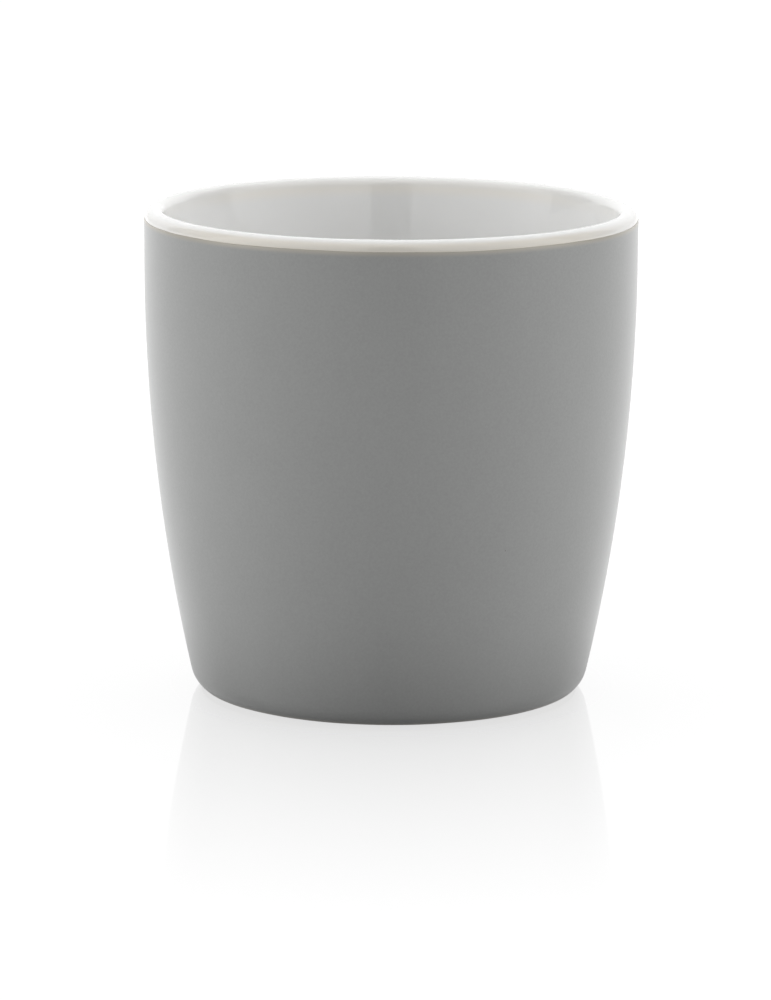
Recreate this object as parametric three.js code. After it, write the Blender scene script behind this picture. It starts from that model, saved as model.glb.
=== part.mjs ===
// A stoneware mug without a handle: one fired clay body under three coats of glaze.
// Millimetres, +Z up. The origin is the middle of the ring that the mug stands on.
import * as THREE from "three";

// Outside, over the glaze
const RIM_DIAMETER = 85;
const MUG_HEIGHT = 84.2;
const UPRIGHT_LENGTH = 9.4; // from the crest of the lip down to where the wall starts to curve in
const WALL_CURVE_RADIUS = 328;
const FOOT_CORNER_RADIUS = 4.4; // bare clay, between the wall and the foot ring

// Lip and inside, over the glaze
const LIP_THICKNESS = 3.4;
const LIP_SWELL = 2; // how much thicker the wall is than the lip
const LIP_TAPER_LENGTH = 8.3; // straight stretch over which the inside widens to the lip
const TAPER_BLEND_RADIUS = 60; // from that stretch into the curved wall
const INNER_CORNER_RADIUS = 10;
const FLOOR_THICKNESS = 5.4; // clay and both glazes

// Foot ring
const FOOT_RING_WIDTH = 2.6;
const RECESS_DEPTH = 2;
const BARE_FOOT_HEIGHT = 0.9; // clay left unglazed above the table

// Glaze coats
const WHITE_GLAZE = 0.3;
const GREY_GLAZE = 0.4;
const BASE_GLAZE = 0.3;
const BOND_GAP = 0.05; // between a coat and the clay under it
const WHITE_SKIRT = 0.13; // reach of the white below the rounding of the lip
const JOIN_GAP = 0.1; // between the edges of the white and the grey

// Steps of a full turn, and of each arc in the outline
const TURN_STEPS = 48;
const CORNER_STEPS = 4;
const WALL_STEPS = 6;
const BLEND_STEPS = 3;
const LIP_STEPS = 4; // outside and inside its crest, each
const RECESS_STEPS = 3;

const RIGHT_ANGLE = Math.PI / 2;
const HALF_TURN = Math.PI;
const FULL_TURN = 2 * Math.PI;
const LEAST_STEP = 1e-4; // outline points nearer than this are one point

// Distance from the clay to the outside of each coat
const whiteCoat = BOND_GAP + WHITE_GLAZE;
const greyCoat = BOND_GAP + GREY_GLAZE;
const baseCoat = BOND_GAP + BASE_GLAZE;

// An arc of the clay's outline, as radius and height about the mug's axis. A coat makes the circle
// larger, and on a hollow arc, where the clay lies outside the circle, smaller.
function arc(centre, radius, from, to, steps) {
  return { centre, radius, from, to, steps, coatSign: 1 };
}

function hollowArc(centre, radius, from, to, steps) {
  return { centre, radius, from, to, steps, coatSign: -1 };
}

function angleTo(from, to) {
  return to.clone().sub(from).angle();
}

// The lower of the two points at which two circles meet
function lowerMeeting(centreA, radiusA, centreB, radiusB) {
  const direction = centreB.clone().sub(centreA);
  const distance = direction.length();
  direction.divideScalar(distance);
  const toChord = (distance ** 2 + radiusA ** 2 - radiusB ** 2) / (2 * distance);
  const halfChord = Math.sqrt(radiusA ** 2 - toChord ** 2);
  const chordMiddle = centreA.clone().addScaledVector(direction, toChord);
  const chordDirection = new THREE.Vector2(direction.y, -direction.x);
  const downward = chordDirection.y < 0 ? halfChord : -halfChord;
  return chordMiddle.addScaledVector(chordDirection, downward);
}

// Outer wall of the clay: upright under the lip, one long curve, a rounded corner at the foot
const clayRadius = RIM_DIAMETER / 2 - greyCoat;
const clayCurveRadius = WALL_CURVE_RADIUS - greyCoat;
const curveTop = MUG_HEIGHT - UPRIGHT_LENGTH;
const curveCentre = new THREE.Vector2(clayRadius - clayCurveRadius, curveTop);
const cornerReach = clayCurveRadius - FOOT_CORNER_RADIUS;
const footRadius = curveCentre.x + Math.sqrt(cornerReach ** 2 - (curveTop - FOOT_CORNER_RADIUS) ** 2);
const cornerCentre = new THREE.Vector2(footRadius, FOOT_CORNER_RADIUS);
const cornerTop = angleTo(curveCentre, cornerCentre) - FULL_TURN;
const bareTop = Math.acos(1 - BARE_FOOT_HEIGHT / FOOT_CORNER_RADIUS) - RIGHT_ANGLE;
const bareCorner = arc(cornerCentre, FOOT_CORNER_RADIUS, -RIGHT_ANGLE, bareTop, CORNER_STEPS);
const glazedCorner = arc(cornerCentre, FOOT_CORNER_RADIUS, bareTop, cornerTop, CORNER_STEPS);
const outerCurve = arc(curveCentre, clayCurveRadius, cornerTop, 0, WALL_STEPS);

// Lip of the clay, half round, with the white ending on the upright wall just under it
const clayLipRadius = LIP_THICKNESS / 2 - whiteCoat;
const lipCentre = new THREE.Vector2(clayRadius - clayLipRadius, MUG_HEIGHT - LIP_THICKNESS / 2);
const joinHeight = lipCentre.y - WHITE_SKIRT;

// Inside of the clay: a straight taper under the lip, blended into a curve that keeps the wall
// of one thickness, and a rounded corner at the floor
const wallThickness = LIP_THICKNESS + LIP_SWELL;
const innerCurveRadius = WALL_CURVE_RADIUS - wallThickness + whiteCoat;
const blendReach = Math.hypot(TAPER_BLEND_RADIUS - clayLipRadius, LIP_TAPER_LENGTH);
const blendCentre = lowerMeeting(lipCentre, blendReach, curveCentre, innerCurveRadius + TAPER_BLEND_RADIUS);
const blendFoot = angleTo(blendCentre, curveCentre);
const taperTilt = Math.atan2(LIP_TAPER_LENGTH, TAPER_BLEND_RADIUS - clayLipRadius);
const taperFacing = angleTo(blendCentre, lipCentre) + taperTilt;
const clayFloor = RECESS_DEPTH - baseCoat + FLOOR_THICKNESS - whiteCoat;
const innerReach = innerCurveRadius - INNER_CORNER_RADIUS;
const innerCornerHeight = clayFloor + INNER_CORNER_RADIUS;
const cupFloorRadius = curveCentre.x + Math.sqrt(innerReach ** 2 - (curveTop - innerCornerHeight) ** 2);
const cupCorner = new THREE.Vector2(cupFloorRadius, innerCornerHeight);
const innerCornerTop = angleTo(curveCentre, cupCorner) - FULL_TURN;
const innerCurveTop = blendFoot - HALF_TURN;
const lipOutside = arc(lipCentre, clayLipRadius, 0, RIGHT_ANGLE, LIP_STEPS);
const lipInside = arc(lipCentre, clayLipRadius, RIGHT_ANGLE, taperFacing, LIP_STEPS);
const taperBlend = arc(blendCentre, TAPER_BLEND_RADIUS, taperFacing, blendFoot, BLEND_STEPS);
const innerCurve = hollowArc(curveCentre, innerCurveRadius, innerCurveTop, innerCornerTop, WALL_STEPS);
const innerCorner = hollowArc(cupCorner, INNER_CORNER_RADIUS, innerCornerTop, -RIGHT_ANGLE, CORNER_STEPS);

// Underside: a shallow recess inside the foot ring, reached by two equal quarter rounds
const ringInnerRadius = footRadius - FOOT_RING_WIDTH;
const recessRound = RECESS_DEPTH / 2;
const recessEdge = new THREE.Vector2(ringInnerRadius, recessRound);
const recessCentre = new THREE.Vector2(ringInnerRadius - RECESS_DEPTH, recessRound);
const recessHollow = hollowArc(recessCentre, recessRound, RIGHT_ANGLE, 0, RECESS_STEPS);
const ringEdge = arc(recessEdge, recessRound, HALF_TURN, HALF_TURN + RIGHT_ANGLE, RECESS_STEPS);

// Points along an arc at a distance outside the clay
function along(clayArc, coat) {
  const { centre, from, to, steps, coatSign } = clayArc;
  const radius = clayArc.radius + coatSign * coat;
  return new THREE.ArcCurve(centre.x, centre.y, radius, from, to, to < from).getPoints(steps);
}

// The three glazed sides of the mug at a distance outside the clay, each with the clay on its left
function baseSide(coat) {
  const middle = new THREE.Vector2(0, RECESS_DEPTH - coat);
  return [middle, ...along(recessHollow, coat)];
}

function wallSide(coat) {
  const edge = new THREE.Vector2(clayRadius + coat, joinHeight - JOIN_GAP / 2);
  return [...along(glazedCorner, coat), ...along(outerCurve, coat), edge];
}

function linerSide(coat) {
  const edge = new THREE.Vector2(clayRadius + coat, joinHeight + JOIN_GAP / 2);
  const arcs = [lipOutside, lipInside, taperBlend, innerCurve, innerCorner];
  const inside = arcs.flatMap((clayArc) => along(clayArc, coat));
  const middle = new THREE.Vector2(0, clayFloor + coat);
  return [edge, ...inside, middle];
}

// A solid turned about the mug's axis from its outline
function turned(name, outline, material) {
  const points = outline.filter((point, i) => i === 0 || point.distanceTo(outline[i - 1]) > LEAST_STEP);
  const geometry = new THREE.LatheGeometry(points, TURN_STEPS).rotateX(RIGHT_ANGLE);
  const mesh = new THREE.Mesh(geometry, material);
  mesh.name = name;
  return mesh;
}

// A coat of glaze between its outer face and the face bonded to the clay. The outline of a coat
// that covers the mug's middle starts and ends there, and that of a ring closes on itself.
function coatOf(name, side, coat, material) {
  const face = side(coat);
  const bond = side(BOND_GAP).reverse();
  if (face.at(-1).x === 0) return turned(name, [...bond, ...face], material);
  const outline = [...face, ...bond];
  if (face[0].x > 0) outline.push(face[0].clone());
  return turned(name, outline, material);
}

const bareClay = new THREE.MeshStandardMaterial({ color: 0xb9ab97, roughness: 0.85, metalness: 0 });
const glossWhite = new THREE.MeshStandardMaterial({ color: 0xe6e6e4, roughness: 0.12, metalness: 0 });
const matteGrey = new THREE.MeshStandardMaterial({ color: 0x9e9e9c, roughness: 0.6, metalness: 0 });
const baseGrey = matteGrey.clone();

const clayOutline = [
  ...baseSide(0),
  ...along(ringEdge, 0),
  ...along(bareCorner, 0),
  ...wallSide(0),
  ...linerSide(0),
];

const mug = new THREE.Group();
mug.add(turned("stoneware_body", clayOutline, bareClay));
mug.add(coatOf("white_liner_glaze", linerSide, whiteCoat, glossWhite));
mug.add(coatOf("grey_wall_glaze", wallSide, greyCoat, matteGrey));
mug.add(coatOf("grey_base_glaze", baseSide, baseCoat, baseGrey));

export default mug;
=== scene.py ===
from math import acos, atan2, ceil, cos, hypot, pi, radians, sin, sqrt, tan, tau

import bpy
from mathutils import Matrix, Vector


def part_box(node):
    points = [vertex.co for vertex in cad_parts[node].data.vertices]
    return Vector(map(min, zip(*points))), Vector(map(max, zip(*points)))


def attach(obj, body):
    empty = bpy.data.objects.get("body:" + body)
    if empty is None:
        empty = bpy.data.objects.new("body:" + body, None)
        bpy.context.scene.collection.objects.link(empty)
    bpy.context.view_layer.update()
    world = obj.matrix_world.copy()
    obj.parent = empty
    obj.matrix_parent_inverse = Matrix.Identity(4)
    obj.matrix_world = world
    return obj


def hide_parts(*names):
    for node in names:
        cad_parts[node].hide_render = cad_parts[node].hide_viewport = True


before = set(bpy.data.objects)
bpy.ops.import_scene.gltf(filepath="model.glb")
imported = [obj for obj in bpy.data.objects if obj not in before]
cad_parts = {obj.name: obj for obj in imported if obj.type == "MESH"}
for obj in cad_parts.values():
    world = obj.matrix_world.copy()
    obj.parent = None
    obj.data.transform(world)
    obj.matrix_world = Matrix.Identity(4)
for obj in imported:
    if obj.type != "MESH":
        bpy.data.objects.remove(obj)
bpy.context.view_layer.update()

# Stoneware body
# Buff stoneware, pressed in a mould by a turning head, trimmed at the foot and fired once.
# Glaze hides all of it but the foot ring, which is wiped bare so that it doesn't stick in the kiln.

clay_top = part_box("stoneware_body")[1]
white_low, white_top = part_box("white_liner_glaze")
grey_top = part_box("grey_wall_glaze")[1]
base_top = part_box("grey_base_glaze")[1]

UPRIGHT_LENGTH = 0.0094      # from the crest of the lip down to where the wall starts to curve in
WALL_CURVE_RADIUS = 0.328    # over the grey glaze
FOOT_CORNER_RADIUS = 0.0044  # of the clay, between the wall and the foot ring
LIP_THICKNESS = 0.0034       # over the white glaze
LIP_SWELL = 0.002            # how much thicker the wall is than the lip
LIP_TAPER_LENGTH = 0.0083    # straight stretch over which the inside widens to the lip
TAPER_BLEND_RADIUS = 0.06    # from that stretch into the curved wall
INNER_CORNER_RADIUS = 0.01
FOOT_RING_WIDTH = 0.0026
BARE_FOOT_HEIGHT = 0.0009    # clay left unglazed above the table
BOND_GAP = 0.00005           # between a coat of glaze and the clay
JOIN_GAP = 0.0001            # between the solids of the white and the grey
OUTLINE_STEP = 0.0008        # between points along a smooth stretch
RING_STEP = 0.0004           # across the flat of the foot ring
FOOT_STEP = 0.0002           # round the edges of the foot ring
LIP_STEP = 0.0001            # round the lip
EDGE_STEP = 0.00004          # between points round the edge of a coat

mug_height = white_top.z
clay_radius = clay_top.x
grey_coat = grey_top.x - clay_radius
white_coat = mug_height - clay_top.z
clay_floor = white_low.z - BOND_GAP
recess_depth = base_top.z + BOND_GAP
join_height = grey_top.z + JOIN_GAP / 2


def arc(centre, radius, start, end, step=OUTLINE_STEP):
    """Points (radius, height) along an arc of the outline, from one angle to the other."""
    count = max(2, ceil(abs(end - start) * radius / step))
    angles = [start + (end - start) * i / count for i in range(count + 1)]
    return [centre + radius * Vector((cos(a), sin(a))) for a in angles]


def straight(start, end, step=OUTLINE_STEP):
    count = max(1, ceil((end - start).length / step))
    return [start.lerp(end, i / count) for i in range(count + 1)]


def angle_to(start, end):
    return atan2(end.y - start.y, end.x - start.x)


def lower_meeting(centre_a, radius_a, centre_b, radius_b):
    """The lower of the two points at which two circles meet."""
    between = centre_b - centre_a
    distance = between.length
    direction = between / distance
    to_chord = (distance ** 2 + radius_a ** 2 - radius_b ** 2) / (2 * distance)
    half_chord = sqrt(radius_a ** 2 - to_chord ** 2)
    chord = Vector((direction.y, -direction.x))
    downward = half_chord if chord.y < 0 else -half_chord
    return centre_a + to_chord * direction + downward * chord


# Outer wall of the clay: upright under the lip, one long curve, a rounded corner at the foot
curve_radius = WALL_CURVE_RADIUS - grey_coat
curve_centre = Vector((clay_radius - curve_radius, mug_height - UPRIGHT_LENGTH))
corner_drop = curve_centre.y - FOOT_CORNER_RADIUS
foot_radius = curve_centre.x + sqrt((curve_radius - FOOT_CORNER_RADIUS) ** 2 - corner_drop ** 2)
corner_centre = Vector((foot_radius, FOOT_CORNER_RADIUS))
corner_top = angle_to(curve_centre, corner_centre)
bare_top = acos(1 - BARE_FOOT_HEIGHT / FOOT_CORNER_RADIUS) - pi / 2

# Lip and inside of the clay: half round, a straight taper, a curve that keeps the wall of one
# thickness, and a rounded corner at the floor
lip_radius = LIP_THICKNESS / 2 - white_coat
lip_centre = Vector((clay_radius - lip_radius, mug_height - LIP_THICKNESS / 2))
inner_radius = WALL_CURVE_RADIUS - LIP_THICKNESS - LIP_SWELL + white_coat
blend_reach = hypot(TAPER_BLEND_RADIUS - lip_radius, LIP_TAPER_LENGTH)
blend_path = inner_radius + TAPER_BLEND_RADIUS
blend_centre = lower_meeting(lip_centre, blend_reach, curve_centre, blend_path)
blend_foot = angle_to(blend_centre, curve_centre)
taper_tilt = atan2(LIP_TAPER_LENGTH, TAPER_BLEND_RADIUS - lip_radius)
taper_facing = angle_to(blend_centre, lip_centre) + taper_tilt
floor_corner_height = clay_floor + INNER_CORNER_RADIUS
floor_drop = curve_centre.y - floor_corner_height
floor_radius = curve_centre.x + sqrt((inner_radius - INNER_CORNER_RADIUS) ** 2 - floor_drop ** 2)
floor_corner = Vector((floor_radius, floor_corner_height))
floor_corner_top = angle_to(curve_centre, floor_corner)

# Recess under the mug, reached from the foot ring by two equal quarter rounds
ring_inner_radius = foot_radius - FOOT_RING_WIDTH
recess_round = recess_depth / 2
ring_edge = Vector((ring_inner_radius, recess_round))
recess_corner = Vector((ring_inner_radius - recess_depth, recess_round))


def base_side(coat, trim=0):
    """The glazed recess at a distance outside the clay, from its middle, less trim at its edge."""
    ceiling_height = recess_depth - coat
    ceiling = straight(Vector((0, ceiling_height)), Vector((recess_corner.x, ceiling_height)))
    hollow_radius = recess_round - coat
    return ceiling + arc(recess_corner, hollow_radius, pi / 2, trim / hollow_radius)[1:]


def wall_side(coat, trim=0):
    """The outer wall at a distance outside the clay, from the foot up, less trim at both edges."""
    corner_radius = FOOT_CORNER_RADIUS + coat
    corner = arc(corner_centre, corner_radius, bare_top + trim / corner_radius, corner_top)
    curve = arc(curve_centre, curve_radius + coat, corner_top, 0)
    upright_top = Vector((clay_radius + coat, join_height - trim))
    return corner + curve[1:] + straight(curve[-1], upright_top)[1:]


def liner_side(coat, trim=0):
    """The lip and inside at a distance outside the clay, from the join, less trim at the join."""
    skirt_foot = Vector((clay_radius + coat, join_height + trim))
    lip = arc(lip_centre, lip_radius + coat, 0, taper_facing, LIP_STEP)
    blend = arc(blend_centre, TAPER_BLEND_RADIUS + coat, taper_facing, blend_foot)
    curve = arc(curve_centre, inner_radius - coat, blend_foot - pi, floor_corner_top)
    corner = arc(floor_corner, INNER_CORNER_RADIUS - coat, floor_corner_top, -pi / 2)
    floor = straight(corner[-1], Vector((0, corner[-1].y)))
    taper = straight(lip[-1], blend[0])
    return [skirt_foot] + lip + taper[1:] + blend[1:] + curve[1:] + corner[1:] + floor[1:]


def add_node(tree, kind, inputs=(), **settings):
    """A new node with its settings, and each input linked to a socket or set to a value."""
    node = tree.nodes.new(kind)
    for name, value in settings.items():
        setattr(node, name, value)
    for socket, value in dict(inputs).items():
        if isinstance(value, bpy.types.NodeSocket):
            tree.links.new(value, node.inputs[socket])
        else:
            node.inputs[socket].default_value = value
    return node


TURN_STEPS = 256
WAVE_LENGTH = 0.016          # of the wander along a glaze edge
WAVE_SEED = 4.0
WAVE_DETAIL = 3.0            # finer waves on top of it
EDGE_REACH = 0.0012          # how far from its edge a coat follows the wander
FAR_FROM_EDGE = 1.0          # stored on a piece that has no glaze edge
SEAM_GAP = 0.000001          # points nearer than this are one, at the seam and on the axis

# The wheel: turns an outline about the mug's axis, and lets a coat's edges wander along the clay
wheel = bpy.data.node_groups.new("Turned on the wheel", "GeometryNodeTree")
wheel.interface.new_socket("Outline", in_out="INPUT", socket_type="NodeSocketGeometry")
wheel.interface.new_socket("Turn Steps", in_out="INPUT", socket_type="NodeSocketInt")
wheel.interface.new_socket("Wave Length", in_out="INPUT", socket_type="NodeSocketFloat")
wheel.interface.new_socket("Wave Seed", in_out="INPUT", socket_type="NodeSocketFloat")
wheel.interface.new_socket("Finish", in_out="INPUT", socket_type="NodeSocketMaterial")
wheel.interface.new_socket("Piece", in_out="OUTPUT", socket_type="NodeSocketGeometry")
given = add_node(wheel, "NodeGroupInput").outputs
outline_size = add_node(wheel, "GeometryNodeAttributeDomainSize", {"Geometry": given["Outline"]})
rows = outline_size.outputs["Point Count"]
columns = add_node(
    wheel, "FunctionNodeIntegerMath", {0: given["Turn Steps"], 1: 1}, operation="ADD").outputs[0]
grid = add_node(wheel, "GeometryNodeMeshGrid", {"Vertices X": rows, "Vertices Y": columns})
index = add_node(wheel, "GeometryNodeInputIndex").outputs[0]
row = add_node(
    wheel, "FunctionNodeIntegerMath", {0: index, 1: columns}, operation="DIVIDE_FLOOR").outputs[0]
column = add_node(
    wheel, "FunctionNodeIntegerMath", {0: index, 1: columns}, operation="MODULO").outputs[0]
turn = add_node(
    wheel, "ShaderNodeMath", {0: column, 1: given["Turn Steps"]}, operation="DIVIDE").outputs[0]
angle = add_node(wheel, "ShaderNodeMath", {0: turn, 1: tau}, operation="MULTIPLY").outputs[0]
place = add_node(wheel, "GeometryNodeInputPosition").outputs[0]
slide = add_node(
    wheel, "GeometryNodeInputNamedAttribute", {"Name": "edge_slide"}, data_type="FLOAT_VECTOR")
near = add_node(
    wheel, "GeometryNodeInputNamedAttribute", {"Name": "edge_distance"}, data_type="FLOAT")
at_row = {"Geometry": given["Outline"], "Index": row}
place_here = add_node(
    wheel, "GeometryNodeSampleIndex", {**at_row, "Value": place}, data_type="FLOAT_VECTOR")
slide_here = add_node(
    wheel, "GeometryNodeSampleIndex", {**at_row, "Value": slide.outputs[0]},
    data_type="FLOAT_VECTOR")
near_here = add_node(
    wheel, "GeometryNodeSampleIndex", {**at_row, "Value": near.outputs[0]}, data_type="FLOAT")
rim_point = add_node(
    wheel, "ShaderNodeVectorRotate", {"Vector": (clay_radius, 0, 0), "Angle": angle},
    rotation_type="Z_AXIS")
wave_scale = add_node(
    wheel, "ShaderNodeMath", {0: 1.0, 1: given["Wave Length"]}, operation="DIVIDE")
wave = add_node(
    wheel, "ShaderNodeTexNoise",
    {"Vector": rim_point.outputs[0], "W": given["Wave Seed"],
     "Scale": wave_scale.outputs[0], "Detail": WAVE_DETAIL},
    noise_dimensions="4D")
swing = add_node(
    wheel, "ShaderNodeMapRange", {"Value": wave.outputs[0], "To Min": -1.0, "To Max": 1.0})
slid = add_node(
    wheel, "ShaderNodeVectorMath",
    {0: slide_here.outputs[0], 1: swing.outputs[0], 2: place_here.outputs[0]},
    operation="MULTIPLY_ADD")
turned_place = add_node(
    wheel, "ShaderNodeVectorRotate", {"Vector": slid.outputs[0], "Angle": angle},
    rotation_type="Z_AXIS")
swept = add_node(
    wheel, "GeometryNodeSetPosition",
    {"Geometry": grid.outputs["Mesh"], "Position": turned_place.outputs[0]})
marked = add_node(
    wheel, "GeometryNodeStoreNamedAttribute",
    {"Geometry": swept.outputs[0], "Name": "edge_distance", "Value": near_here.outputs[0]},
    data_type="FLOAT", domain="POINT")
closed = add_node(
    wheel, "GeometryNodeMergeByDistance", {"Geometry": marked.outputs[0], "Distance": SEAM_GAP})
outward = add_node(wheel, "GeometryNodeFlipFaces", {"Mesh": closed.outputs[0]})
smooth = add_node(
    wheel, "GeometryNodeSetShadeSmooth", {"Geometry": outward.outputs[0], "Shade Smooth": True})
real = add_node(wheel, "GeometryNodeRealizeInstances", {"Geometry": smooth.outputs[0]})
finished = add_node(
    wheel, "GeometryNodeSetMaterial", {"Geometry": real.outputs[0], "Material": given["Finish"]})
add_node(wheel, "NodeGroupOutput", {"Piece": finished.outputs[0]})


def turned(name, outline, finish, edges=()):
    """A piece turned from its outline. An edge is a point, a way along the clay and a wander."""
    mesh = bpy.data.meshes.new(name)
    lines = [(i, i + 1) for i in range(len(outline) - 1)]
    mesh.from_pydata([(point.x, 0, point.y) for point in outline], lines, [])
    mesh.attributes.new("edge_slide", "FLOAT_VECTOR", "POINT")
    mesh.attributes.new("edge_distance", "FLOAT", "POINT")
    edge_slide = mesh.attributes["edge_slide"].data
    edge_distance = mesh.attributes["edge_distance"].data
    for i, point in enumerate(outline):
        distances = [(point - edge).length for edge, direction, wander in edges]
        edge_distance[i].value = min(distances, default=FAR_FROM_EDGE)
        moves = [max(0, 1 - d / EDGE_REACH) * wander * direction
                 for d, (edge, direction, wander) in zip(distances, edges)]
        move = sum(moves, Vector((0, 0)))
        edge_slide[i].vector = (move.x, 0, move.y)
    piece = bpy.data.objects.new(name, mesh)
    bpy.context.scene.collection.objects.link(piece)
    throw = piece.modifiers.new("wheel", "NODES")
    throw.node_group = wheel
    wheel_inputs = {"Turn Steps": TURN_STEPS, "Wave Length": WAVE_LENGTH, "Wave Seed": WAVE_SEED,
                    "Finish": finish}
    for socket in wheel.interface.items_tree:
        if socket.name in wheel_inputs:
            throw[socket.identifier] = wheel_inputs[socket.name]
    view = bpy.context.evaluated_depsgraph_get()
    solid = bpy.data.meshes.new_from_object(piece.evaluated_get(view))
    piece.modifiers.remove(throw)
    piece.data = solid
    bpy.data.meshes.remove(mesh)
    return piece


def linear(code):
    """An sRGB hex colour as linear red, green, blue and alpha."""
    shares = [int(code[i:i + 2], 16) / 255 for i in (1, 3, 5)]
    return (*(s / 12.92 if s <= 0.04045 else ((s + 0.055) / 1.055) ** 2.4 for s in shares), 1.0)


# Bare stoneware, wiped with a sponge and fired: dull, buff, with fine darker grit in the clay
bare_clay = bpy.data.materials.new("bare fired stoneware")
bare_clay.use_nodes = True
tree = bare_clay.node_tree
surface = tree.nodes["Principled BSDF"]
CLAY_DARK = "#B3A48F"
CLAY_PALE = "#C2B5A2"
GRIT_COLOUR = "#94846D"
CLAY_ROUGHNESS = 0.85
CLAY_CLOUD = 0.008           # width of the paler and darker patches
CLOUD_DETAIL = 3.0           # finer layers of noise in patches and clouds
CLAY_GRIT = 0.0006           # spacing of the grit
GRAIN_DETAIL = 2.0           # finer layers of noise in grit and grain
GRIT_NOISE = (0.62, 0.72)    # noise levels between which a grain of grit comes in
CLAY_TOOTH = 0.0001          # height of the grit over the clay
CLAY_TOOTH_SHARE = 0.35
MIX_FROM, MIX_TO = 6, 7      # the two colours that go into a Mix node
MIXED = 2                    # the colour that comes out
point = add_node(tree, "ShaderNodeTexCoord").outputs["Object"]
cloud = add_node(
    tree, "ShaderNodeTexNoise",
    {"Vector": point, "Scale": 1 / CLAY_CLOUD, "Detail": CLOUD_DETAIL})
grit = add_node(
    tree, "ShaderNodeTexNoise", {"Vector": point, "Scale": 1 / CLAY_GRIT, "Detail": GRAIN_DETAIL})
patches = add_node(
    tree, "ShaderNodeMix",
    {"Factor": cloud.outputs[0], MIX_FROM: linear(CLAY_DARK), MIX_TO: linear(CLAY_PALE)},
    data_type="RGBA")
grains = add_node(
    tree, "ShaderNodeMapRange",
    {"Value": grit.outputs[0], "From Min": GRIT_NOISE[0], "From Max": GRIT_NOISE[1]})
gritty = add_node(
    tree, "ShaderNodeMix",
    {"Factor": grains.outputs[0], MIX_FROM: patches.outputs[MIXED], MIX_TO: linear(GRIT_COLOUR)},
    data_type="RGBA")
tooth = add_node(
    tree, "ShaderNodeBump",
    {"Height": grit.outputs[0], "Strength": CLAY_TOOTH_SHARE, "Distance": CLAY_TOOTH})
tree.links.new(gritty.outputs[MIXED], surface.inputs["Base Color"])
tree.links.new(tooth.outputs[0], surface.inputs["Normal"])
surface.inputs["Roughness"].default_value = CLAY_ROUGHNESS

ring_flat = straight(Vector((ring_inner_radius, 0)), Vector((foot_radius, 0)), RING_STEP)
clay_outline = (
    base_side(0)
    + arc(ring_edge, recess_round, pi, 1.5 * pi, FOOT_STEP)[1:]
    + ring_flat[1:]
    + arc(corner_centre, FOOT_CORNER_RADIUS, -pi / 2, bare_top, FOOT_STEP)[1:]
    + wall_side(0)[1:]
    + liner_side(0)
)
body = turned("clay_body", clay_outline, bare_clay)
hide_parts("stoneware_body")
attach(body, "root")

# White liner glaze
# Gloss white tin glaze, poured inside, rolled round and tipped out, then taken over the lip by
# dipping. It ends in a slightly wavy line just under the lip, where it is thin and the buff clay
# warms it. A painted warm shade deepens that warmth on the front and back of the lip.

EDGE_ROUND = 0.00005         # radius of the edge of a coat
JOIN_WANDER = 0.00018        # how far the join strays up and down


def edge_round(face_end, along, outward, radius):
    """The rounded edge of a coat, past the end of its face, down to its cut end."""
    centre = face_end - radius * outward
    count = max(2, ceil(radius * pi / 2 / EDGE_STEP))
    turns = [pi / 2 * i / count for i in range(1, count + 1)]
    return [centre + radius * (cos(a) * outward + sin(a) * along) for a in turns]


# Tin-white glaze, fired to a gloss: mirrors the studio, with a faint ripple, and is warm where
# thin;
# on the lip's front and back that warmth is deepened by painted warm shade
white_glaze = bpy.data.materials.new("gloss white stoneware glaze")
white_glaze.use_nodes = True
tree = white_glaze.node_tree
surface = tree.nodes["Principled BSDF"]
WHITE_COLOUR = "#EAEAE9"
WARM_COLOUR = "#EFEAE0"      # where the glaze is thin, and as painted warm shade
WHITE_ROUGHNESS = 0.05
WHITE_RIPPLE = 0.004         # width of the ripple that the firing leaves
RIPPLE_DETAIL = 1.0
RIPPLE_HEIGHT = 0.00005
RIPPLE_SHARE = 0.06
WARM_SKIRT = 0.001           # reach of the warm band over the join
WARM_SKIRT_END = 0.0019      # where it has faded
WARM_INSIDE = 0.004          # depth below the crest to which the inside is faintly warm
WARM_INSIDE_SHARE = 0.55
PAINTED_SHADE_SPAN = (0.014, 0.034)  # distance to the front or back between which the painted warm shade comes in
UNSHADED_WARM_SHARE = 0.2        # what is left of the warm tint on the two sides, where no shade is painted
point = add_node(tree, "ShaderNodeTexCoord").outputs["Object"]
ripple = add_node(
    tree, "ShaderNodeTexNoise",
    {"Vector": point, "Scale": 1 / WHITE_RIPPLE, "Detail": RIPPLE_DETAIL})
from_edge = add_node(tree, "ShaderNodeAttribute", attribute_name="edge_distance").outputs["Fac"]
outside = add_node(
    tree, "ShaderNodeMapRange",
    {"Value": from_edge, "From Min": WARM_SKIRT, "From Max": WARM_SKIRT_END,
     "To Min": 1.0, "To Max": 0.0},
    interpolation_type="SMOOTHSTEP")
apart = add_node(tree, "ShaderNodeSeparateXYZ", {0: point})
height = apart.outputs["Z"]
inside = add_node(
    tree, "ShaderNodeMapRange",
    {"Value": height, "From Min": mug_height - WARM_INSIDE, "From Max": join_height,
     "To Max": WARM_INSIDE_SHARE},
    interpolation_type="SMOOTHSTEP")
under_crest = add_node(
    tree, "ShaderNodeMapRange",
    {"Value": height, "From Min": join_height, "From Max": mug_height,
     "To Min": 1.0, "To Max": 0.0})
inside_share = add_node(
    tree, "ShaderNodeMath", {0: inside.outputs[0], 1: under_crest.outputs[0]}, operation="MULTIPLY")
rim_share = add_node(
    tree, "ShaderNodeMath", {0: outside.outputs[0], 1: inside_share.outputs[0]},
    operation="MAXIMUM")
off_side = add_node(tree, "ShaderNodeMath", {0: apart.outputs["Y"]}, operation="ABSOLUTE")
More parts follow.
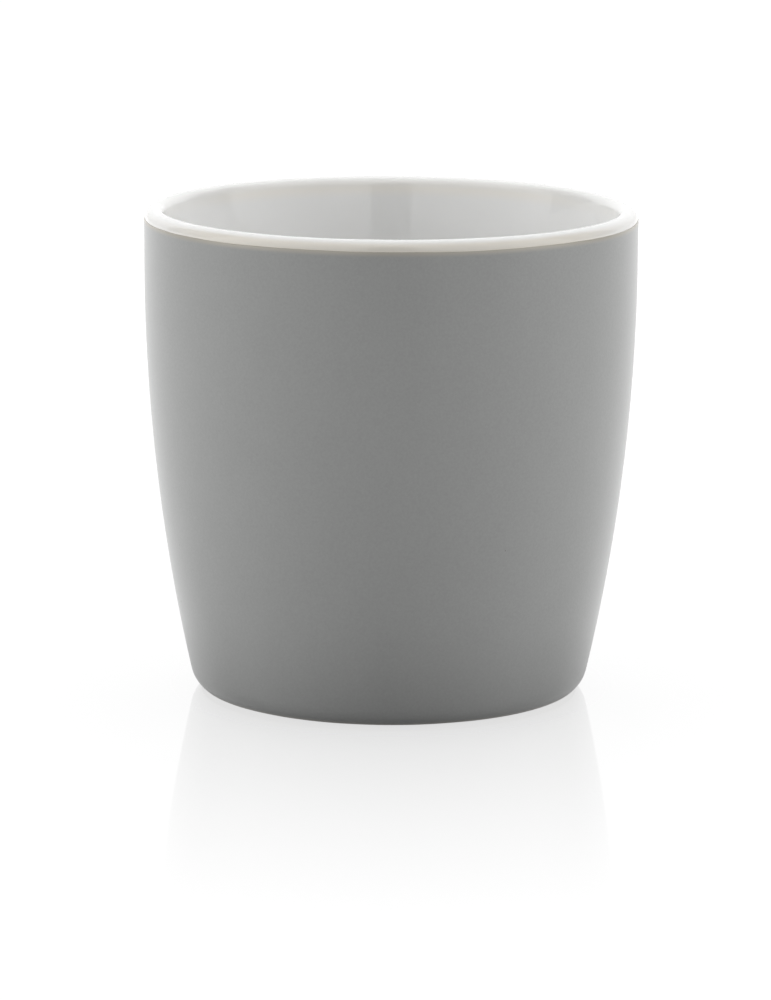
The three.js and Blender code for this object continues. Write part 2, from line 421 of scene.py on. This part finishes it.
# Painted warm shade: the warm tint is full on the lip's front and back, down to a share on its
# sides
painted_shade_front_back = add_node(
    tree, "ShaderNodeMapRange",
    {"Value": off_side.outputs[0], "From Min": PAINTED_SHADE_SPAN[0], "From Max": PAINTED_SHADE_SPAN[1],
     "To Min": UNSHADED_WARM_SHARE},
    interpolation_type="SMOOTHSTEP")
# Warmth of the thin glaze, deepened on the front and back of the lip by the painted shade
thinness = add_node(
    tree, "ShaderNodeMath", {0: rim_share.outputs[0], 1: painted_shade_front_back.outputs[0]},
    operation="MULTIPLY")
glaze_colour = add_node(
    tree, "ShaderNodeMix",
    {"Factor": thinness.outputs[0], MIX_FROM: linear(WHITE_COLOUR), MIX_TO: linear(WARM_COLOUR)},
    data_type="RGBA")
skin = add_node(
    tree, "ShaderNodeBump",
    {"Height": ripple.outputs[0], "Strength": RIPPLE_SHARE, "Distance": RIPPLE_HEIGHT})
tree.links.new(glaze_colour.outputs[MIXED], surface.inputs["Base Color"])
tree.links.new(skin.outputs[0], surface.inputs["Normal"])
surface.inputs["Roughness"].default_value = WHITE_ROUGHNESS

down, up, out = Vector((0, -1)), Vector((0, 1)), Vector((1, 0))
white_face = liner_side(white_coat, EDGE_ROUND)
white_edge = edge_round(white_face[0], down, out, EDGE_ROUND)
white_outline = liner_side(BOND_GAP)[::-1] + white_edge[::-1] + white_face
join = Vector((clay_radius + white_coat, join_height))
liner = turned("white_liner", white_outline, white_glaze, [(join, up, JOIN_WANDER)])
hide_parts("white_liner_glaze")
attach(liner, "root")

# Grey wall glaze
# Matte grey glaze, sprayed on the outer wall while the mug spins upside down, up to the white.
# A sponge wipes it off the foot ring, so that it ends in a soft edge just above the table.

# Matte stoneware glaze, dry to the touch: fine grain, faint clouds and a few iron specks
grey_glaze = bpy.data.materials.new("matte grey stoneware glaze")
grey_glaze.use_nodes = True
tree = grey_glaze.node_tree
surface = tree.nodes["Principled BSDF"]
GREY_DARK = "#9C9D9C"
GREY_PALE = "#A0A1A0"
THIN_GREY = "#B7B2A8"        # at its edges, where the buff clay warms it
SPECK_COLOUR = "#6F6D69"
GREY_ROUGHNESS = 0.28
GREY_CLOUD = 0.007           # width of the clouds
GREY_GRAIN = 0.0004          # width of the grain
GRAIN_NOISE = (0.3, 0.7)     # noise levels between which the grain goes from dark to pale
GRAIN_SHADES = (0.96, 1.04)  # what it does to the colour
GRAIN_HEIGHT = 0.00006
GRAIN_SHARE = 0.2
THIN_REACH = 0.001           # how far from an edge the glaze is thin
SPECK_ROOM = 0.006           # side of the cube of glaze that has room for one speck
SPECK_SIZE = 0.00022         # radius of the largest speck
SPECK_CHANCE = 0.4           # share of the cubes that hold one
point = add_node(tree, "ShaderNodeTexCoord").outputs["Object"]
cloud = add_node(
    tree, "ShaderNodeTexNoise",
    {"Vector": point, "Scale": 1 / GREY_CLOUD, "Detail": CLOUD_DETAIL})
grain = add_node(
    tree, "ShaderNodeTexNoise",
    {"Vector": point, "Scale": 1 / GREY_GRAIN, "Detail": GRAIN_DETAIL})
clouds = add_node(
    tree, "ShaderNodeMix",
    {"Factor": cloud.outputs[0], MIX_FROM: linear(GREY_DARK), MIX_TO: linear(GREY_PALE)},
    data_type="RGBA")
grain_step = add_node(
    tree, "ShaderNodeMapRange",
    {"Value": grain.outputs[0], "From Min": GRAIN_NOISE[0], "From Max": GRAIN_NOISE[1],
     "To Min": GRAIN_SHADES[0], "To Max": GRAIN_SHADES[1]})
grained = add_node(
    tree, "ShaderNodeMix",
    {"Factor": 1.0, MIX_FROM: clouds.outputs[MIXED], MIX_TO: grain_step.outputs[0]},
    data_type="RGBA", blend_type="MULTIPLY")
from_edge = add_node(tree, "ShaderNodeAttribute", attribute_name="edge_distance").outputs["Fac"]
thinness = add_node(
    tree, "ShaderNodeMapRange",
    {"Value": from_edge, "From Min": 0.0, "From Max": THIN_REACH, "To Min": 1.0, "To Max": 0.0},
    interpolation_type="SMOOTHSTEP")
warmed = add_node(
    tree, "ShaderNodeMix",
    {"Factor": thinness.outputs[0], MIX_FROM: grained.outputs[MIXED], MIX_TO: linear(THIN_GREY)},
    data_type="RGBA")
specks = add_node(tree, "ShaderNodeTexVoronoi", {"Vector": point, "Scale": 1 / SPECK_ROOM})
speck_luck = add_node(tree, "ShaderNodeSeparateColor", {"Color": specks.outputs["Color"]})
speck_reach = add_node(
    tree, "ShaderNodeMapRange",
    {"Value": speck_luck.outputs[0], "From Min": 0.0, "From Max": SPECK_CHANCE,
     "To Min": SPECK_SIZE / SPECK_ROOM, "To Max": 0.0})
speck_here = add_node(
    tree, "ShaderNodeMath", {0: specks.outputs["Distance"], 1: speck_reach.outputs[0]},
    operation="LESS_THAN")
specked = add_node(
    tree, "ShaderNodeMix",
    {"Factor": speck_here.outputs[0], MIX_FROM: warmed.outputs[MIXED],
     MIX_TO: linear(SPECK_COLOUR)},
    data_type="RGBA")
tooth = add_node(
    tree, "ShaderNodeBump",
    {"Height": grain.outputs[0], "Strength": GRAIN_SHARE, "Distance": GRAIN_HEIGHT})
tree.links.new(specked.outputs[MIXED], surface.inputs["Base Color"])
tree.links.new(tooth.outputs[0], surface.inputs["Normal"])
surface.inputs["Roughness"].default_value = GREY_ROUGHNESS

grey_face = wall_side(grey_coat, EDGE_ROUND)
foot_out = Vector((cos(bare_top), sin(bare_top)))
foot_along = Vector((sin(bare_top), -cos(bare_top)))
join_edge = edge_round(grey_face[-1], up, out, EDGE_ROUND)
foot_edge = edge_round(grey_face[0], foot_along, foot_out, EDGE_ROUND)
grey_outline = foot_edge[::-1] + grey_face + join_edge + wall_side(BOND_GAP)[::-1] + [foot_edge[-1]]
join = Vector((clay_radius + grey_coat, join_height))
foot = corner_centre + (FOOT_CORNER_RADIUS + grey_coat) * foot_out
wall_edges = [(join, up, JOIN_WANDER), (foot, foot_along, JOIN_WANDER)]
wall = turned("grey_wall", grey_outline, grey_glaze, wall_edges)
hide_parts("grey_wall_glaze")
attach(wall, "root")

# Grey base glaze
# The same matte grey glaze in the shallow recess inside the foot ring, sprayed on with the wall.
# The sponge that wipes the ring bare doesn't reach into the recess.

BASE_GLAZE = 0.0003          # thickness of the coat
base_coat = BOND_GAP + BASE_GLAZE
base_face = base_side(base_coat, EDGE_ROUND)
base_edge = edge_round(base_face[-1], down, -out, EDGE_ROUND)
base_outline = base_face + base_edge + base_side(BOND_GAP)[::-1]
rim_of_base = Vector((ring_inner_radius - recess_round - base_coat, recess_round))
base = turned("grey_base", base_outline, grey_glaze, [(rim_of_base, down, JOIN_WANDER)])
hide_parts("grey_base_glaze")
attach(base, "root")

# Studio
# A white acrylic sheet to stand on, white boards round it with dark gaps between them, a soft box
# on each side, behind and overhead, and the camera. The glazes mirror the boards, which the world
# draws, while the soft boxes only give light.

FLOOR_HALF = 3.0
FLOOR_HEIGHT = -0.00002      # a hair under the foot ring, so that the two faces don't share a plane
FLOOR_MIRROR = 0.26          # share of light that the sheet mirrors beside the foot
FLOOR_MIRROR_REACH = 0.19    # distance from the mug's axis at which the mirroring has faded
FLOOR_MIRROR_FADE = 1.5      # how fast it fades at first
FLOOR_GLOW = 0.96            # of the sheet near the mug, where the rest of its white is lamplight
FLOOR_COLOUR = "#525252"     # what it gives back of the lamplight, and so how deep the shadow is
FLOOR_ROUGHNESS = 0.05
FLOOR_GLOSS_LEVEL = 1.2      # of the sheet as the glazes mirror it
FLOOR_WHITE_REACH = 0.5      # distance from the axis at which the sheet is white by its glow alone
FLOOR_BOUNCE = 0.56          # how pale the sheet is to the mug's own wall, far from the foot
FLOOR_SHADE = 0.5            # share of that which is left beside the foot, as painted shade
FLOOR_SHADE_REACH = 0.068    # distance from the axis at which the painted shade round the foot has faded
floor_mesh = bpy.data.meshes.new("white_sheet")
corners = [(-FLOOR_HALF, -FLOOR_HALF, FLOOR_HEIGHT), (FLOOR_HALF, -FLOOR_HALF, FLOOR_HEIGHT),
           (FLOOR_HALF, FLOOR_HALF, FLOOR_HEIGHT), (-FLOOR_HALF, FLOOR_HALF, FLOOR_HEIGHT)]
floor_mesh.from_pydata(corners, [], [(0, 1, 2, 3)])
floor = bpy.data.objects.new("white_sheet", floor_mesh)
bpy.context.scene.collection.objects.link(floor)
sheet = bpy.data.materials.new("white acrylic sheet")
sheet.use_nodes = True
tree = sheet.node_tree
tree.nodes.clear()
path = add_node(tree, "ShaderNodeLightPath")
seen = add_node(
    tree, "ShaderNodeMath", {0: path.outputs["Is Camera Ray"], 1: path.outputs["Is Glossy Ray"]},
    operation="MAXIMUM")
point = add_node(tree, "ShaderNodeTexCoord").outputs["Object"]
reach = add_node(tree, "ShaderNodeVectorMath", {0: point}, operation="LENGTH")
# Painted shade round the foot: the sheet is darker there in the light it gives back to the mug and
# in what the glazes mirror
open_floor = add_node(
    tree, "ShaderNodeMapRange",
    {"Value": reach.outputs["Value"], "From Min": foot_radius, "From Max": FLOOR_SHADE_REACH,
     "To Min": FLOOR_SHADE, "To Max": 1.0},
    interpolation_type="SMOOTHSTEP")
lit_floor = add_node(
    tree, "ShaderNodeMath", {0: open_floor.outputs[0], 1: FLOOR_BOUNCE}, operation="MULTIPLY")
bounce = add_node(
    tree, "ShaderNodeMix",
    {"Factor": seen.outputs[0], MIX_FROM: lit_floor.outputs[0], MIX_TO: linear(FLOOR_COLOUR)},
    data_type="RGBA")
matt = add_node(tree, "ShaderNodeBsdfDiffuse", {"Color": bounce.outputs[MIXED]})
white_glow = add_node(
    tree, "ShaderNodeMapRange",
    {"Value": reach.outputs["Value"], "From Min": FLOOR_MIRROR_REACH, "From Max": FLOOR_WHITE_REACH,
     "To Min": FLOOR_GLOW, "To Max": 1.0},
    interpolation_type="SMOOTHSTEP")
camera_glow = add_node(
    tree, "ShaderNodeMath", {0: path.outputs["Is Camera Ray"], 1: white_glow.outputs[0]},
    operation="MULTIPLY")
open_gloss = add_node(
    tree, "ShaderNodeMath", {0: open_floor.outputs[0], 1: FLOOR_GLOSS_LEVEL}, operation="MULTIPLY")
glossy_glow = add_node(
    tree, "ShaderNodeMath", {0: path.outputs["Is Glossy Ray"], 1: open_gloss.outputs[0]},
    operation="MULTIPLY")
glow_level = add_node(
    tree, "ShaderNodeMath", {0: camera_glow.outputs[0], 1: glossy_glow.outputs[0]},
    operation="MAXIMUM")
shine = add_node(tree, "ShaderNodeEmission", {"Strength": glow_level.outputs[0]})
white = add_node(tree, "ShaderNodeAddShader", {0: matt.outputs[0], 1: shine.outputs[0]})
mirror = add_node(tree, "ShaderNodeBsdfGlossy", {"Roughness": FLOOR_ROUGHNESS})
nearness = add_node(
    tree, "ShaderNodeMapRange",
    {"Value": reach.outputs["Value"], "From Min": foot_radius, "From Max": FLOOR_MIRROR_REACH,
     "To Min": 1.0, "To Max": 0.0})
fading = add_node(
    tree, "ShaderNodeMath", {0: nearness.outputs[0], 1: FLOOR_MIRROR_FADE}, operation="POWER")
mirroring = add_node(
    tree, "ShaderNodeMath", {0: fading.outputs[0], 1: FLOOR_MIRROR}, operation="MULTIPLY")
mirror_share = add_node(
    tree, "ShaderNodeMath", {0: mirroring.outputs[0], 1: seen.outputs[0]}, operation="MULTIPLY")
polished = add_node(
    tree, "ShaderNodeMixShader",
    {0: mirror_share.outputs[0], 1: white.outputs[0], 2: mirror.outputs[0]})
from_below = add_node(tree, "ShaderNodeNewGeometry").outputs["Backfacing"]
clear = add_node(tree, "ShaderNodeBsdfTransparent")
one_sided = add_node(
    tree, "ShaderNodeMixShader", {0: from_below, 1: polished.outputs[0], 2: clear.outputs[0]})
add_node(tree, "ShaderNodeOutputMaterial", {"Surface": one_sided.outputs[0]})
floor_mesh.materials.append(sheet)

SURROUND_AMBIENT = 0.06      # what the surround gives to matt surfaces
CAMERA_GAP = radians(11)     # half the width of the dark gap that the camera stands in
SIDE_GAP = (radians(92), radians(127))  # dark gap between a side board and the backdrop
GAP_LEVEL = 0.1
BOARD_LEVEL = 1.2            # of the white boards on each side of the camera
BACKDROP_LEVEL = 1.05
GAP_SOFTNESS = radians(1)    # half the width of the fade at a board's edge
OVERHEAD_LEVEL = 1.35        # of the white overhead
OVERHEAD_FROM = radians(40)  # height over the table at which it begins
OVERHEAD_FULL = radians(55)
world = bpy.data.worlds.new("white surround")
bpy.context.scene.world = world
world.use_nodes = True
tree = world.node_tree
path = add_node(tree, "ShaderNodeLightPath")
direction = add_node(tree, "ShaderNodeTexCoord").outputs["Generated"]
way = add_node(tree, "ShaderNodeVectorMath", {0: direction, 1: (1, 1, 0)}, operation="MULTIPLY")
level_way = add_node(tree, "ShaderNodeVectorMath", {0: way.outputs[0]}, operation="NORMALIZE")
towards_camera = add_node(
    tree, "ShaderNodeVectorMath", {0: level_way.outputs[0], 1: (0, -1, 0)}, operation="DOT_PRODUCT")
azimuth = add_node(
    tree, "ShaderNodeMath", {0: towards_camera.outputs["Value"]}, operation="ARCCOSINE")
share = add_node(tree, "ShaderNodeMath", {0: azimuth.outputs[0], 1: pi}, operation="DIVIDE")
boards = add_node(tree, "ShaderNodeValToRGB", {"Fac": share.outputs[0]})
levels = boards.color_ramp.elements
for edge, before, after in (
        (CAMERA_GAP, GAP_LEVEL, BOARD_LEVEL),
        (SIDE_GAP[0], BOARD_LEVEL, GAP_LEVEL),
        (SIDE_GAP[1], GAP_LEVEL, BACKDROP_LEVEL)):
    for bearing, tone in ((edge - GAP_SOFTNESS, before), (edge + GAP_SOFTNESS, after)):
        stop = levels.new(bearing / pi)
        stop.color = (tone, tone, tone, 1)
levels[0].color = (GAP_LEVEL, GAP_LEVEL, GAP_LEVEL, 1)
levels[-1].color = (BACKDROP_LEVEL, BACKDROP_LEVEL, BACKDROP_LEVEL, 1)
steepness = add_node(
    tree, "ShaderNodeVectorMath", {0: direction, 1: (0, 0, 1)}, operation="DOT_PRODUCT")
overhead = add_node(
    tree, "ShaderNodeMapRange",
    {"Value": steepness.outputs["Value"],
     "From Min": sin(OVERHEAD_FROM), "From Max": sin(OVERHEAD_FULL)},
    interpolation_type="SMOOTHSTEP")
LEVEL_FROM, LEVEL_TO = 2, 3  # the two numbers that go into a Mix node
around = add_node(
    tree, "ShaderNodeMix",
    {"Factor": overhead.outputs[0], LEVEL_FROM: boards.outputs[0], LEVEL_TO: OVERHEAD_LEVEL},
    data_type="FLOAT")
glossy_level = add_node(
    tree, "ShaderNodeMath", {0: path.outputs["Is Glossy Ray"], 1: around.outputs[0]},
    operation="MULTIPLY")
seen_white = add_node(
    tree, "ShaderNodeMath",
    {0: path.outputs["Is Camera Ray"], 1: path.outputs["Is Transmission Ray"]},
    operation="MAXIMUM")
seen_level = add_node(
    tree, "ShaderNodeMath", {0: seen_white.outputs[0], 1: glossy_level.outputs[0]},
    operation="MAXIMUM")
matt_level = add_node(
    tree, "ShaderNodeMath", {0: path.outputs["Is Diffuse Ray"], 1: SURROUND_AMBIENT},
    operation="MULTIPLY")
level = add_node(
    tree, "ShaderNodeMath", {0: seen_level.outputs[0], 1: matt_level.outputs[0]},
    operation="MAXIMUM")
surround = tree.nodes["Background"]
surround.inputs["Color"].default_value = (1, 1, 1, 1)
tree.links.new(level.outputs[0], surround.inputs["Strength"])


def soft_box(name, place, facing, width, tall, radiance):
    """A soft box of even glow at a place, facing a direction."""
    lamp = bpy.data.lights.new(name, "AREA")
    lamp.shape = "RECTANGLE"
    lamp.size = width
    lamp.size_y = tall
    lamp.energy = radiance * pi * width * tall
    box = bpy.data.objects.new(name, lamp)
    bpy.context.scene.collection.objects.link(box)
    box.location = place
    box.rotation_euler = Vector(facing).to_track_quat("-Z", "Y").to_euler()
    box.visible_camera = False
    box.visible_glossy = False


LEFT_GLOW = 3.16             # radiance of each box
RIGHT_GLOW = 2.92
BACK_GLOW = 2.5
TOP_GLOW = 2.1
BOX_TALL = 1.0
BOX_FOOT = 0.02              # height of a box's lower edge over the sheet
BOX_DISTANCE = 1.0
SIDE_SPAN = (radians(52), radians(95))  # where a side box begins and ends, round from the camera
BACK_DISTANCE = 0.6
BACK_WIDTH = 0.7
BACK_TALL = 0.7
TOP_HEIGHT = 0.9
TOP_WIDTH = 1.2
TOP_SPAN = (-0.1, 0.9)       # from just in front of the mug to well behind it
box_middle = BOX_FOOT + BOX_TALL / 2
side_azimuth = sum(SIDE_SPAN) / 2
side_width = 2 * BOX_DISTANCE * tan((SIDE_SPAN[1] - SIDE_SPAN[0]) / 2)
for name, side, glow in (("left_box", -1, LEFT_GLOW), ("right_box", 1, RIGHT_GLOW)):
    way_out = Vector((side * sin(side_azimuth), -cos(side_azimuth), 0))
    place = BOX_DISTANCE * way_out + Vector((0, 0, box_middle))
    soft_box(name, place, -way_out, side_width, BOX_TALL, glow)
back_place = (0, BACK_DISTANCE, BOX_FOOT + BACK_TALL / 2)
soft_box("backdrop", back_place, (0, -1, 0), BACK_WIDTH, BACK_TALL, BACK_GLOW)
top_place = (0, sum(TOP_SPAN) / 2, TOP_HEIGHT)
soft_box("top_box", top_place, (0, 0, -1), TOP_WIDTH, TOP_SPAN[1] - TOP_SPAN[0], TOP_GLOW)

# The camera stands a little above the rim, far off with a long lens, and leans a touch
CAMERA_PLACE = (-0.00074, -0.78359, 0.19066)
CAMERA_PITCH = radians(11.4001)
CAMERA_ROLL = radians(0.301)
FOCAL_PIXELS = 4587.5        # focal length in pixels of the picture
FRAME_LONG_SIDE = 1000
CAMERA_NEAR = 0.01           # nothing nearer to the lens than this is drawn
camera_data = bpy.data.cameras.new("camera")
camera_data.lens = FOCAL_PIXELS * camera_data.sensor_width / FRAME_LONG_SIDE
camera_data.clip_start = CAMERA_NEAR
camera = bpy.data.objects.new("camera", camera_data)
bpy.context.scene.collection.objects.link(camera)
tilt = Matrix.Rotation(pi / 2 - CAMERA_PITCH, 4, "X") @ Matrix.Rotation(CAMERA_ROLL, 4, "Z")
camera.matrix_world = Matrix.Translation(CAMERA_PLACE) @ tilt
bpy.context.scene.camera = camera
bpy.context.scene.view_settings.view_transform = "Standard"
